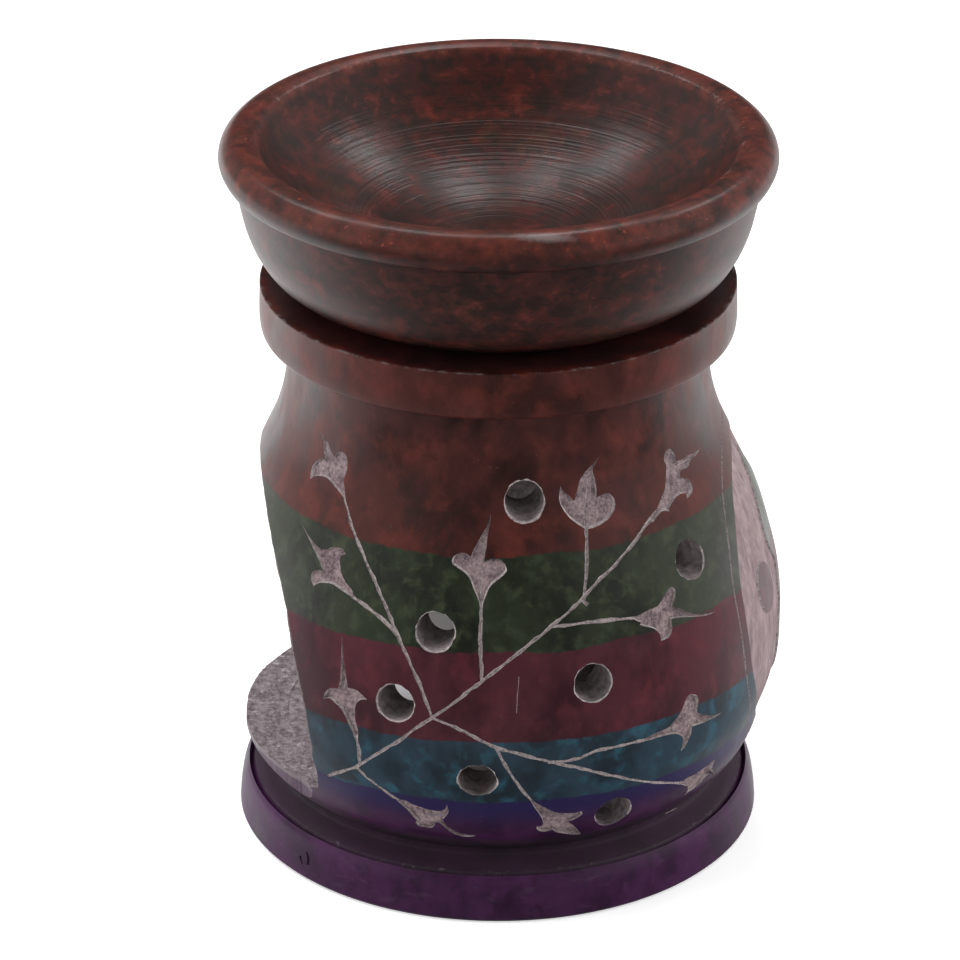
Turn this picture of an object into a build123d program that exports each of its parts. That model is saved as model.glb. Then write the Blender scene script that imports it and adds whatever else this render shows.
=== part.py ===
from build123d import *
import math
import os

os.makedirs("parts", exist_ok=True)

# A turned soapstone burner: a hollow body with a doorway for a tealight and drilled air holes,
# and a loose dish that stands on the body's collar. Origin at the centre of the foot's underside,
# +Z up, the carved front faces -Y, the doorway opens towards -X. All lengths in millimetres.

# Stepped foot
foot_radius = 35.2
foot_flank_height = 6.1
foot_flank_taper = 1.1
foot_groove_width = 0.9
foot_groove_depth = 0.6
ledge_width = 2.7
ledge_rise = 1.6
cove_depth = 0.6
cove_height = 0.6

# Belly, neck and collar
body_height = 77.15
belly_radius = 38.0
belly_height = 29.0
neck_radius = 27.3
collar_radius = 31.2
collar_height = 6.55
collar_edge_radius = 0.9
mouth_radius = 21.0
mouth_depth = 9.0

# Candle chamber and its doorway
chamber_wall = 6.0
chamber_floor_radius = 28.5
sill_height = 13.3
doorway_radius = 28.7
doorway_centre_height = 24.5

# Drilled air holes and the carved medallion
air_hole_radius = 2.5
medallion_radius = 19.3
medallion_centre_height = 34.5
medallion_depth = 0.3

# Oil bowl
bowl_height = 20.15
bowl_seat_radius = 24.8
bowl_wall_radius = 34.3
bowl_rim_radius = 36.2
lip_height = 4.9
lip_width = 4.8
dish_depth = 14.5
dish_floor_radius = 8.0
spigot_height = 3.6
spigot_clearance = 0.3

# Tealight
cup_radius = 18.6
cup_height = 15.0
cup_wall = 0.35
cup_rim_width = 0.4
cup_rim_height = 0.5
wax_height = 11.2
wax_clearance = 0.05
wick_radius = 0.8
wick_length = 17.6
sustainer_radius = 7.0
sustainer_thickness = 0.3
sustainer_neck_height = 2.5
sustainer_neck_wall = 0.4
wick_clearance = 0.05

# One overrun for every cutter
overrun = 5.0

# Heights and radii that follow from the sizes above
ledge_height = foot_flank_height + ledge_rise
cove_centre_height = ledge_height + cove_height
shoulder_radius = foot_radius - foot_flank_taper
ledge_outer_radius = shoulder_radius - foot_groove_width
ledge_inner_radius = ledge_outer_radius - ledge_width
cove_radius = ledge_inner_radius - cove_depth
neck_height = body_height - collar_height
throat_height = body_height - mouth_depth

# Outline of the flare from the cove up to the belly: share of the radius, share of the height
flare_shares = [(0.345, 0.115), (0.593, 0.257), (0.753, 0.455), (0.951, 0.703)]
# Outline of the shoulder from the belly up to the neck: share of the radius, share of the height
shoulder_shares = [
    (0.033, 0.144),
    (0.159, 0.288),
    (0.336, 0.433),
    (0.593, 0.577),
    (0.832, 0.721),
    (0.953, 0.865),
]
# Outline under the bowl from its seat out to the lip: share of the radius, share of the height
bowl_shares = [(0.274, 0.089), (0.516, 0.187), (0.684, 0.318), (0.832, 0.515), (0.926, 0.744)]
# Outline of the dish from its floor out to the lip: share of the radius, share of the height
dish_shares = [(0.3, 0.13), (0.6, 0.37), (0.85, 0.68)]
# Underside of the bowl's lip: share of its overhang past the wall, share of the lip's height
lip_overhang_shares = [(0.6, 0.14), (1.0, 0.52)]
# Crown of the lip, from the rim inwards: share of the lip's width, share of its height
lip_crown_shares = [(0.26, 0.85), (0.6, 1.0)]
lip_inner_height_share = 0.9

# Air holes on the front: degrees round from the front towards +X, and share of the body's height
air_hole_places_shares = [
    (6.4, 0.758),
    (46.3, 0.616),
    (-13.1, 0.555),
    (18.8, 0.463),
    (-20.5, 0.425),
    (-4.2, 0.292),
    (25.3, 0.1905),
]


def point(radius, height):
    """Point of an outline in the XZ plane."""
    return (radius, 0, height)


def polyline(points):
    """Straight edges through the points in turn."""
    return [Line(start, end) for start, end in zip(points, points[1:])]


def turned(edges):
    """Solid of revolution about the Z axis from a closed outline in the XZ plane."""
    return revolve(make_face(edges), Axis.Z, 360)


def between(start, end, shares):
    """Points spread between two points of an outline, by share of radius and share of height."""
    points = []
    for radius_share, height_share in shares:
        radius = start[0] + radius_share * (end[0] - start[0])
        height = start[2] + height_share * (end[2] - start[2])
        points.append(point(radius, height))
    return points


def belly_curve(inset):
    """Curve of the body from the cove over the belly to the neck, drawn in by an inset."""
    cove = point(cove_radius - inset, cove_centre_height)
    belly = point(belly_radius - inset, belly_height)
    neck = point(neck_radius - inset, neck_height)
    flare = between(cove, belly, flare_shares)
    shoulder = between(belly, neck, shoulder_shares)
    return Spline([cove, *flare, belly, *shoulder, neck])


def body_blank():
    """The body turned in one piece: foot, ledge, belly, neck and collar, still solid."""
    base = point(foot_radius, 0)
    flank = point(foot_radius - foot_flank_taper / 4, foot_flank_height / 2)
    shoulder = point(shoulder_radius, foot_flank_height)
    crown = point(shoulder_radius - foot_groove_width / 3, foot_flank_height + foot_groove_depth / 2)
    groove = point(shoulder_radius - foot_groove_width * 2 / 3, foot_flank_height - foot_groove_depth / 2)
    ledge_start = point(ledge_outer_radius, foot_flank_height + foot_groove_depth / 2)
    ledge_end = point(ledge_inner_radius, ledge_height)
    cove = point(cove_radius, cove_centre_height)
    neck = point(neck_radius, neck_height)
    collar_under = point(collar_radius - collar_edge_radius, neck_height)
    edge_inset = collar_edge_radius * (1 - math.sqrt(0.5))
    collar_edge = point(collar_radius - edge_inset, neck_height + edge_inset)
    collar_side = point(collar_radius, neck_height + collar_edge_radius)
    collar_top = point(collar_radius, body_height)
    edges = [Line(point(0, 0), base), ThreePointArc(base, flank, shoulder)]
    edges += polyline([shoulder, crown, groove, ledge_start, ledge_end, cove])
    edges += [belly_curve(0), Line(neck, collar_under)]
    edges += [ThreePointArc(collar_under, collar_edge, collar_side)]
    edges += polyline([collar_side, collar_top, point(0, body_height), point(0, 0)])
    return turned(edges)


def chamber():
    """The hollow for the candle: flat floor, bellied sides, and the mouth up through the collar."""
    floor = point(chamber_floor_radius, sill_height)
    belly = point(belly_radius - chamber_wall, belly_height)
    throat = point(mouth_radius, throat_height)
    top = point(mouth_radius, body_height + overrun)
    sides = Spline([floor, belly, *between(belly, throat, shoulder_shares), throat])
    edges = [Line(point(0, sill_height), floor), sides]
    edges += polyline([throat, top, point(0, body_height + overrun), point(0, sill_height)])
    return turned(edges)


def doorway():
    """Round opening cut through the wall towards -X, with its bottom left flat at the sill."""
    reach = belly_radius + overrun
    width = 2 * doorway_radius
    tunnel = Pos(-reach / 2, 0, doorway_centre_height) * Rot(0, 90, 0) * Cylinder(doorway_radius, reach)
    below = Pos(-reach / 2, 0, sill_height - width / 2) * Box(reach, width, width)
    return tunnel - below


def air_hole(azimuth, height):
    """Drill through the wall, level, towards the axis. The azimuth counts from -Y towards +X."""
    length = belly_radius + overrun - mouth_radius
    middle = mouth_radius + length / 2
    drill = Rot(90, 0, 0) * Cylinder(air_hole_radius, length)
    return Rot(0, 0, azimuth) * Pos(0, -middle, height) * drill


def air_holes():
    """The front's air holes and the same again on the back, mirrored."""
    drills = []
    for azimuth, share in air_hole_places_shares:
        drills.append(air_hole(azimuth, share * body_height))
        drills.append(air_hole(180 - azimuth, share * body_height))
    return drills


def medallion_recess():
    """Shallow round sinking in the belly towards +X, one depth below the turned surface."""
    cove = point(cove_radius - medallion_depth, cove_centre_height)
    neck = point(neck_radius - medallion_depth, neck_height)
    axis_top = point(0, neck_height)
    axis_bottom = point(0, cove_centre_height)
    core = turned([belly_curve(medallion_depth), *polyline([neck, axis_top, axis_bottom, cove])])
    reach = belly_radius + overrun
    disc = Pos(reach / 2, 0, medallion_centre_height) * Rot(0, 90, 0) * Cylinder(medallion_radius, reach)
    return disc - core


def burner_body():
    """Body with its chamber, doorway, air holes and medallion recess cut out."""
    hollow = chamber() + doorway()
    body = body_blank() - hollow - medallion_recess()
    for drill in air_holes():
        body -= drill
    return body


def oil_bowl():
    """Thick dish with a rolled lip, standing on the collar with a spigot in the mouth."""
    seat_height = body_height
    crest_height = seat_height + bowl_height
    lip_bottom = crest_height - lip_height
    lip_inner_radius = bowl_rim_radius - lip_width
    overhang = bowl_rim_radius - bowl_wall_radius
    spigot_radius = mouth_radius - spigot_clearance
    spigot_bottom = point(spigot_radius, seat_height - spigot_height)
    spigot_top = point(spigot_radius, seat_height)
    seat = point(bowl_seat_radius, seat_height)
    wall = point(bowl_wall_radius, lip_bottom)
    lip = []
    for radius_share, height_share in lip_overhang_shares:
        radius = bowl_wall_radius + radius_share * overhang
        lip.append(point(radius, lip_bottom + height_share * lip_height))
    for radius_share, height_share in lip_crown_shares:
        radius = bowl_rim_radius - radius_share * lip_width
        lip.append(point(radius, lip_bottom + height_share * lip_height))
    inner = point(lip_inner_radius, lip_bottom + lip_inner_height_share * lip_height)
    dish_floor = point(dish_floor_radius, crest_height - dish_depth)
    dish = list(reversed(between(dish_floor, inner, dish_shares)))
    edges = polyline([point(0, seat_height - spigot_height), spigot_bottom, spigot_top, seat])
    edges += [Spline([seat, *between(seat, wall, bowl_shares), wall])]
    edges += [Spline([wall, *lip, inner]), Spline([inner, *dish, dish_floor])]
    edges += polyline([dish_floor, point(0, dish_floor[2]), point(0, seat_height - spigot_height)])
    return turned(edges)


def tealight_cup():
    """Thin cup that stands on the chamber floor, with a narrow turned-out rim."""
    top = sill_height + cup_height
    inner_radius = cup_radius - cup_wall
    rim_radius = cup_radius + cup_rim_width
    rim_under = top - cup_rim_height
    outline = [
        point(0, sill_height),
        point(cup_radius, sill_height),
        point(cup_radius, rim_under),
        point(rim_radius, rim_under),
        point(rim_radius, top),
        point(inner_radius, top),
        point(inner_radius, sill_height + cup_wall),
        point(0, sill_height + cup_wall),
        point(0, sill_height),
    ]
    return turned(polyline(outline))


def wick_sustainer():
    """Small disc on the cup's floor with a neck round the wick."""
    bottom = sill_height + cup_wall
    bore_radius = wick_radius + wick_clearance
    neck_outer_radius = bore_radius + sustainer_neck_wall
    plate_top = bottom + sustainer_thickness
    neck_top = plate_top + sustainer_neck_height
    outline = [
        point(0, bottom),
        point(sustainer_radius, bottom),
        point(sustainer_radius, plate_top),
        point(neck_outer_radius, plate_top),
        point(neck_outer_radius, neck_top),
        point(bore_radius, neck_top),
        point(bore_radius, plate_top),
        point(0, plate_top),
        point(0, bottom),
    ]
    return turned(polyline(outline))


def wick():
    """Round wick that stands on the sustainer's disc and comes out of the wax."""
    bottom = sill_height + cup_wall + sustainer_thickness
    return Pos(0, 0, bottom + wick_length / 2) * Cylinder(wick_radius, wick_length)


def tealight_wax():
    """Wax that fills the cup, cast round the sustainer and the wick."""
    floor = sill_height + cup_wall
    plate_top = floor + sustainer_thickness + wax_clearance
    neck_top = floor + sustainer_thickness + sustainer_neck_height + wax_clearance
    top = floor + wax_height
    wall_radius = cup_radius - cup_wall - wax_clearance
    plate_radius = sustainer_radius + wax_clearance
    neck_outer_radius = wick_radius + wick_clearance + sustainer_neck_wall + wax_clearance
    bore_radius = wick_radius + wick_clearance
    outline = [
        point(plate_radius, floor),
        point(wall_radius, floor),
        point(wall_radius, top),
        point(bore_radius, top),
        point(bore_radius, neck_top),
        point(neck_outer_radius, neck_top),
        point(neck_outer_radius, plate_top),
        point(plate_radius, plate_top),
        point(plate_radius, floor),
    ]
    return turned(polyline(outline))


pieces = {
    "burner_body": burner_body(),
    "oil_bowl": oil_bowl(),
    "tealight_cup": tealight_cup(),
    "wick_sustainer": wick_sustainer(),
    "wick": wick(),
    "tealight_wax": tealight_wax(),
}

for name, piece in pieces.items():
    piece.label = name
    export_step(piece, f"parts/{name}.step")
    print(name, len(piece.solids()), "solid", round(piece.volume), "mm3")
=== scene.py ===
import math
import random

import bpy
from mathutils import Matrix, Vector


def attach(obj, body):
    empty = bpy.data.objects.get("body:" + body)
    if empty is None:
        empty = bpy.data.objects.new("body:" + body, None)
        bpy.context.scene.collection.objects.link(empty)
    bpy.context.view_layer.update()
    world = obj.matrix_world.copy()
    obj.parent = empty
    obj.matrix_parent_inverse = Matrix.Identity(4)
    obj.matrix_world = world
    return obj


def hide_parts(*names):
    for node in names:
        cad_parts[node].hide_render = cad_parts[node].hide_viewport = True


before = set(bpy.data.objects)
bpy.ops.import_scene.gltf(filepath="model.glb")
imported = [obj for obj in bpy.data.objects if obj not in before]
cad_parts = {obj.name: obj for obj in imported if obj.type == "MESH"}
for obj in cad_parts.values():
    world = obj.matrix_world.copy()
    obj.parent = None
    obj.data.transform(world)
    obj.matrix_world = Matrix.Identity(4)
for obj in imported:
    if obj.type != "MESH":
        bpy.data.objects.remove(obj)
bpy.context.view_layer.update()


# Camera
# The burner is seen from in front and a little above, through a long lens from close by.
# It comes first, because the carving is laid out on the stone by what this camera sees.

mm = 0.001
picture_width = 960
lens_in_pixels = 5000
sensor_width = 36
camera_pitch = math.radians(25.76)
camera_place = Vector((-2.4 * mm, -600 * mm, 337 * mm))

bpy.ops.object.camera_add(location=camera_place, rotation=(math.radians(90) - camera_pitch, 0, 0))
camera = bpy.context.object
camera.name = "photo_camera"
camera.data.sensor_width = sensor_width
camera.data.lens = sensor_width * lens_in_pixels / picture_width
bpy.context.scene.camera = camera


def sight_line(pixel):
    """Direction in which the camera sees a pixel of the photograph."""
    across = pixel[0] - picture_width / 2
    down = pixel[1] - picture_width / 2
    return camera.rotation_euler.to_matrix() @ Vector((across, -down, -lens_in_pixels)).normalized()


# Burner body
# One block of soapstone, turned on a lathe with a stepped foot, a belly and a collar, hollowed out for
# the candle, then dyed in bands and waxed. The doorway, the air holes, the medallion and the vine
# are cut after the dye, so they bare the pale raw stone.

seam_gap = 0.001 * mm
knot_gap = 0.005 * mm
body_detail = 10
body_steps = 320
foot_radius = 35.2
foot_edge = 0.5
foot_flank_height = 6.1
shoulder_radius = 34.1
groove_radius = 33.5
groove_height = 5.6
groove_half_width = 0.4
ledge_radius = 30.5
ledge_height = 7.7
cove_radius = 29.9
cove_height = 8.3
belly_radius = 38.0
belly_height = 29.0
neck_radius = 27.3
neck_height = 70.6
collar_radius = 31.2
collar_edge = 0.9
body_height = 77.15
mouth_radius = 21.0
throat_height = 68.15
chamber_wall = 6.0
chamber_floor_radius = 28.5
sill_height = 13.3
doorway_radius = 28.7
doorway_centre_height = 24.5

flare_shares = [(0.345, 0.115), (0.593, 0.257), (0.753, 0.455), (0.951, 0.703)]
shoulder_shares = [
    (0.033, 0.144),
    (0.159, 0.288),
    (0.336, 0.433),
    (0.593, 0.577),
    (0.832, 0.721),
    (0.953, 0.865),
]


def deselect():
    """Leaves nothing selected, so that the next operator acts on its own piece alone."""
    if bpy.context.object and bpy.context.object.mode == "EDIT":
        bpy.ops.object.mode_set(mode="OBJECT")
    bpy.ops.object.select_all(action="DESELECT")


def between(start, end, shares):
    """Smooth outline points between two others, by share of radius and share of height."""
    points = []
    for across, up in shares:
        points.append((start[0] + across * (end[0] - start[0]), start[1] + up * (end[1] - start[1]), "AUTO"))
    return points


def drawn_curve(name, points, detail, closed=False):
    """A curve through points (place, corner or smooth), as a mesh of edges."""
    deselect()
    bpy.ops.curve.primitive_bezier_curve_add()
    curve = bpy.context.object
    curve.name = name
    curve.data.dimensions = "3D"
    spline = curve.data.splines[0]
    spline.resolution_u = detail
    spline.bezier_points.add(len(points) - len(spline.bezier_points))
    spline.use_cyclic_u = closed
    for knot, (place, kind) in zip(spline.bezier_points, points):
        knot.co = place
    for knot, (place, kind) in zip(spline.bezier_points, points):
        knot.handle_left_type = kind
        knot.handle_right_type = kind
    bpy.ops.object.convert(target="MESH")
    return bpy.context.object


def edit_all():
    """Opens the active piece for editing, all of it selected."""
    bpy.ops.object.mode_set(mode="EDIT")
    bpy.ops.mesh.select_all(action="SELECT")


def closed_faces(piece):
    """Joins a piece's loose seams and turns every face outwards."""
    deselect()
    bpy.context.view_layer.objects.active = piece
    edit_all()
    bpy.ops.mesh.remove_doubles(threshold=seam_gap)
    bpy.ops.mesh.normals_make_consistent(inside=False)
    bpy.ops.object.mode_set(mode="OBJECT")


def turned(name, outline, detail, steps):
    """A closed turned shell from its half outline, given as radius, height and kind of point, in mm."""
    points = [((radius * mm, 0, height * mm), kind) for radius, height, kind in outline]
    shell = drawn_curve(name, points, detail)
    edit_all()
    bpy.ops.mesh.spin(steps=steps, angle=math.tau, center=(0, 0, 0), axis=(0, 0, 1))
    closed_faces(shell)
    return shell


def belly_outline(inset):
    """Outline from the cove over the belly to the neck, drawn in by an inset."""
    cove = (cove_radius - inset, cove_height)
    belly = (belly_radius - inset, belly_height)
    neck = (neck_radius - inset, neck_height)
    points = [(*cove, "VECTOR"), *between(cove, belly, flare_shares), (*belly, "AUTO")]
    return points + [*between(belly, neck, shoulder_shares), (*neck, "VECTOR")]


body_outline = [
    (0, 0, "VECTOR"),
    (foot_radius - foot_edge, 0, "VECTOR"),
    (foot_radius, foot_edge, "VECTOR"),
    (foot_radius - 0.25, foot_flank_height / 2, "AUTO"),
    (shoulder_radius + 0.25, foot_flank_height - 0.5, "AUTO"),
    (groove_radius + groove_half_width, foot_flank_height + 0.2, "VECTOR"),
    (groove_radius, groove_height, "VECTOR"),
    (groove_radius - groove_half_width, foot_flank_height + 0.35, "VECTOR"),
    (ledge_radius + 0.3, ledge_height - 0.1, "AUTO"),
    (ledge_radius, ledge_height + 0.15, "AUTO"),
    *belly_outline(0),
    (collar_radius - collar_edge, neck_height, "VECTOR"),
    (collar_radius - 0.25, neck_height + 0.28, "AUTO"),
    (collar_radius, neck_height + collar_edge, "AUTO"),
    (collar_radius, body_height - 0.12, "VECTOR"),
    (collar_radius - 0.12, body_height, "VECTOR"),
    (0, body_height, "VECTOR"),
]
burner = turned("soapstone_body", body_outline, body_detail, body_steps)


class Value:
    """A number, colour or vector in a finish, taken from one socket, for use in plain sums."""

    def __init__(self, tree, socket):
        self.tree = tree
        self.socket = socket

    def node(self, kind, settings, inputs, output=0):
        """Any node: its type, its settings first, then the values or links of its sockets."""
        made = self.tree.nodes.new(kind)
        for name, setting in settings.items():
            setattr(made, name, setting)
        for name, given in inputs.items():
            if isinstance(given, Value):
                self.tree.links.new(given.socket, made.inputs[name])
            else:
                made.inputs[name].default_value = given
        return Value(self.tree, made.outputs[output])

    def math(self, operation, first, second=0.0):
        return self.node("ShaderNodeMath", {"operation": operation}, {0: first, 1: second})

    def __add__(self, other):
        return self.math("ADD", self, other)

    __radd__ = __add__

    def __sub__(self, other):
        return self.math("SUBTRACT", self, other)

    def __rsub__(self, other):
        return self.math("SUBTRACT", other, self)

    def __mul__(self, other):
        return self.math("MULTIPLY", self, other)

    __rmul__ = __mul__

    def __abs__(self):
        return self.math("ABSOLUTE", self)

    def at_most(self, limit):
        return self.math("MINIMUM", self, limit)

    def smooth(self, low, high):
        """Runs from 0 at the low value to 1 at the high one, gently at both ends."""
        settings = {"interpolation_type": "SMOOTHSTEP"}
        return self.node("ShaderNodeMapRange", settings, {0: self, 1: low, 2: high, 3: 0.0, 4: 1.0})

    def close_to(self, middle, near, far):
        """Is 1 up to the near distance from a middle value, and 0 from the far distance on."""
        return 1 - abs(self - middle).smooth(near, far)

    def within(self, start, full, end, gone):
        """Rises from 0 at the start to 1 where it is full, and falls from the end to 0 where it is gone."""
        return self.smooth(start, full) * (1 - self.smooth(end, gone))

    def along(self, axis):
        """How far a place lies along X (0), Y (1) or Z (2)."""
        return self.node("ShaderNodeSeparateXYZ", {}, {0: self}, axis)

    def length(self):
        return self.node("ShaderNodeVectorMath", {"operation": "LENGTH"}, {0: self}, "Value")

    def from_point(self, x, y, z):
        """The same place, measured from another point."""
        return self.node("ShaderNodeVectorMath", {"operation": "SUBTRACT"}, {0: self, 1: (x, y, z)})

    def stretched(self, x, y, z):
        """The same place with each direction made longer or shorter, and so a pattern finer or coarser."""
        return self.node("ShaderNodeVectorMath", {"operation": "MULTIPLY"}, {0: self, 1: (x, y, z)})

    def noise(self, grain, detail=4.0, roughness=0.5, twist=0.0):
        """Cloudy noise from 0 to 1 whose clouds are about one grain across, in mm."""
        inputs = {"Vector": self, "Scale": 1 / grain, "Detail": detail, "Roughness": roughness}
        return self.node("ShaderNodeTexNoise", {}, {**inputs, "Distortion": twist})

    def tinted(self, first, second):
        """First colour where this is 0 and second where it is 1."""
        colours = [c if isinstance(c, Value) else (*c, 1) for c in (first, second)]
        return self.node("ShaderNodeMix", {"data_type": "RGBA"}, {0: self, 6: colours[0], 7: colours[1]}, 2)


def new_finish(name, roughness, **constants):
    """A finish with its shader's own sockets set, the place on the piece in mm, and its height and radius."""
    finish = bpy.data.materials.new(name)
    finish.use_nodes = True
    shader = finish.node_tree.nodes["Principled BSDF"]
    shader.inputs["Roughness"].default_value = roughness
    for socket, value in constants.items():
        shader.inputs[socket.replace("_", " ")].default_value = value
    start = Value(finish.node_tree, None)
    place = start.node("ShaderNodeTexCoord", {}, {}, "Object").stretched(1 / mm, 1 / mm, 1 / mm)
    return finish, shader, place, place.along(2), place.stretched(1, 1, 0).length()


def feed(shader, socket, value):
    """Links a value that changes over the surface to a socket of the shader."""
    value.tree.links.new(value.socket, shader.inputs[socket])


def carved_relief(shader, relief):
    """Bumps the surface by a relief given in mm."""
    bump = relief.node("ShaderNodeBump", {}, {"Height": relief, "Distance": mm, "Strength": 1.0}, "Normal")
    feed(shader, "Normal", bump)


# Raw stone: pinkish grey, crumbled where the tool went, with dark and pale grains.
raw_pale = (0.335, 0.256, 0.258)
raw_deep = (0.115, 0.083, 0.095)
raw_dark_grain = (0.045, 0.035, 0.04)
raw_finish, shader, place, height, radius = new_finish("raw_soapstone", 0.9, Specular_IOR_Level=0.25)
cloud = place.noise(1.9, 3, 0.6).smooth(0.34, 0.66)
crumb = place.noise(0.5, 5, 0.72)
grain = place.noise(0.38, 3, 0.6)
colour = (0.55 * cloud + 0.8 * crumb.smooth(0.32, 0.68) - 0.16).tinted(raw_deep, raw_pale)
colour = (0.75 * grain.smooth(0.58, 0.70)).tinted(colour, raw_dark_grain)
feed(shader, "Base Color", colour)
carved_relief(shader, 0.25 * crumb + 0.10 * grain)

# Where the doorway was hewn, the stone is coarser: clumps and dark hollows, with white flakes.
hewn_pale = (0.37, 0.315, 0.335)
hewn_deep = (0.14, 0.110, 0.118)
hewn_flake = (0.60, 0.55, 0.57)
hewn_finish, shader, place, height, radius = new_finish("hewn_soapstone", 0.9, Specular_IOR_Level=0.25)
clump = place.noise(2.2, 4, 0.65)
crumb = place.noise(0.7, 5, 0.72)
flake = place.noise(1.5, 4, 0.65, 0.4).smooth(0.57, 0.70)
pale = 0.55 * clump.smooth(0.34, 0.66) + 0.85 * crumb.smooth(0.32, 0.68) - 0.18
feed(shader, "Base Color", (0.75 * flake).tinted(pale.tinted(hewn_deep, hewn_pale), hewn_flake))
carved_relief(shader, 0.5 * clump + 0.3 * crumb)

# Fresh edges, where the tool has bruised the stone, are palest.
edge_pale = (0.47, 0.41, 0.405)
edge_deep = (0.20, 0.165, 0.17)
edge_finish, shader, place, height, radius = new_finish("bruised_edge", 0.9, Specular_IOR_Level=0.2)
crumb = place.noise(0.45, 4, 0.7)
feed(shader, "Base Color", crumb.smooth(0.30, 0.62).tinted(edge_deep, edge_pale))
carved_relief(shader, 0.25 * crumb)

# The hollow is dusty and dark, except for its floor, which is as pale as the hewn stone.
dust_pale = (0.30, 0.258, 0.260)
dust_deep = (0.145, 0.120, 0.122)
hollow_finish, shader, place, height, radius = new_finish("dusty_hollow", 0.9, Specular_IOR_Level=0.2)
crumb = place.noise(1.1, 5, 0.65)
dust = crumb.smooth(0.30, 0.70).tinted(dust_deep, dust_pale)
hewn_floor = crumb.smooth(0.30, 0.70).tinted(hewn_deep, hewn_pale)
feed(shader, "Base Color", height.smooth(sill_height + 0.2, sill_height + 1.5).tinted(hewn_floor, dust))
carved_relief(shader, 0.15 * crumb)

# Dyed stone: each band of dye takes unevenly, in clouds, blotches and upright brush marks, under one wax.
# A band is its top in mm, its deep, plain and bright tones, the grain of its blotches in mm, how far
# they run upright, and where they begin and are full.
dye_bands = [
    (18.7, (0.024, 0.0032, 0.026), (0.045, 0.0055, 0.048), (0.062, 0.0095, 0.062), 2.5, 0.9, 0.45, 0.75),
    (28.4, (0.011, 0.0205, 0.030), (0.016, 0.0390, 0.062), (0.014, 0.0850, 0.125), 3.0, 0.8, 0.48, 0.70),
    (40.5, (0.036, 0.0060, 0.011), (0.067, 0.0090, 0.017), (0.108, 0.0130, 0.022), 3.0, 0.7, 0.45, 0.75),
    (52.0, (0.008, 0.0110, 0.006), (0.018, 0.0255, 0.012), (0.036, 0.0500, 0.021), 2.1, 0.9, 0.45, 0.70),
    (body_height, (0.024, 0.0065, 0.005), (0.056, 0.0095, 0.007), (0.120, 0.0175, 0.010), 3.8, 0.8, 0.42, 0.76),
]
band_blend = 0.15
indigo = (0.016, 0.009, 0.062)
indigo_heights = (13.5, 17.5)
# The pale of hazy and worn wax, also used for painted sheen and a painted highlight.
wax_haze_and_sheen = (0.17, 0.14, 0.14)
dull_wax = (0.22, 0.17, 0.20)
# Painted shade: the dark tone of the collar top under the bowl and of the ledge under the belly.
painted_shade_dark = (0.014, 0.0085, 0.010)
# Painted light: a brighter red that lifts the collar against the bowl's shade.
collar_painted_light = (0.110, 0.0150, 0.009)
dyed_finish, shader, place, height, radius = new_finish("dyed_soapstone", 0.34, Coat_Roughness=0.5)
cloud = place.stretched(1, 1, 0.7).noise(7, 3, 0.6).smooth(0.36, 0.60)
fleck = place.noise(0.9, 4, 0.65)
edge = height + 1.3 * (place.noise(9, 2, 0.4) - 0.5) + 0.7 * (fleck - 0.5)
colour = None
band_bottom = None
for band_top, deep, plain, bright, grain, upright, low, high in dye_bands:
    blotch = place.stretched(1, 1, upright).noise(grain, 4, 0.62, 0.25).smooth(low, high)
    tone = (cloud * (0.55 + 0.9 * fleck)).tinted(deep, plain)
    tone = (blotch * (0.35 + 0.75 * fleck)).tinted(tone, bright)
    if band_bottom is None:
        colour = edge.smooth(*indigo_heights).tinted(tone, indigo)
    else:
        colour = edge.smooth(band_bottom - band_blend, band_bottom + band_blend).tinted(colour, tone)
    band_bottom = band_top

# The collar is painted a little brighter, as painted light against the shade that the bowl casts on it. Its top
# under the bowl and the ledge over the foot, under the belly, are painted dark as painted shade, and the
# ledge's wax is dull.
collar = height.within(70.4, 70.9, 76.9, 77.1)
seat_painted_shade = height.smooth(body_height - 0.15, body_height - 0.05) * (1 - radius.smooth(29.5, 30.8))
ledge_shade_and_dull_wax = height.within(5.8, 6.2, 9.5, 12.5) * (1 - radius.smooth(33.6, 34.1))
colour = (0.15 * collar).tinted(colour, collar_painted_light)
colour = (0.6 * seat_painted_shade).tinted(colour, painted_shade_dark)
colour = (0.62 * ledge_shade_and_dull_wax).tinted(colour, painted_shade_dark)
colour = (ledge_shade_and_dull_wax * 0.06 * fleck).tinted(colour, dull_wax)

# The wax is hazy where the foot is scuffed, and the stone is painted paler below the doorway. The sides of the
# green and the left of the blue are painted pale as a painted sheen.
across = place.along(0)
scuff = place.stretched(0.4, 0.4, 1.7).noise(1.8, 4, 0.65, 0.3).smooth(0.55, 0.72)
scuff = scuff * (1 - height.smooth(5.6, 6.2))
below_doorway = (1 - across.smooth(-27, -15)) * height.within(8.5, 11, 16.5, 19)
# Painted sheen: the green is painted paler towards both sides, the blue towards the left.
green_side_sheen = abs(across).smooth(16, 34) * height.within(40, 41, 51.5, 52.5)
blue_left_sheen = (1 - across.smooth(-32, -16)) * height.within(18.5, 19.5, 27.5, 28.5)
colour = (0.10 * scuff).tinted(colour, wax_haze_and_sheen)
colour = (below_doorway * (0.10 + 0.20 * fleck)).tinted(colour, wax_haze_and_sheen)
colour = (0.24 * fleck * (green_side_sheen + blue_left_sheen)).tinted(colour, wax_haze_and_sheen)

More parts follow.
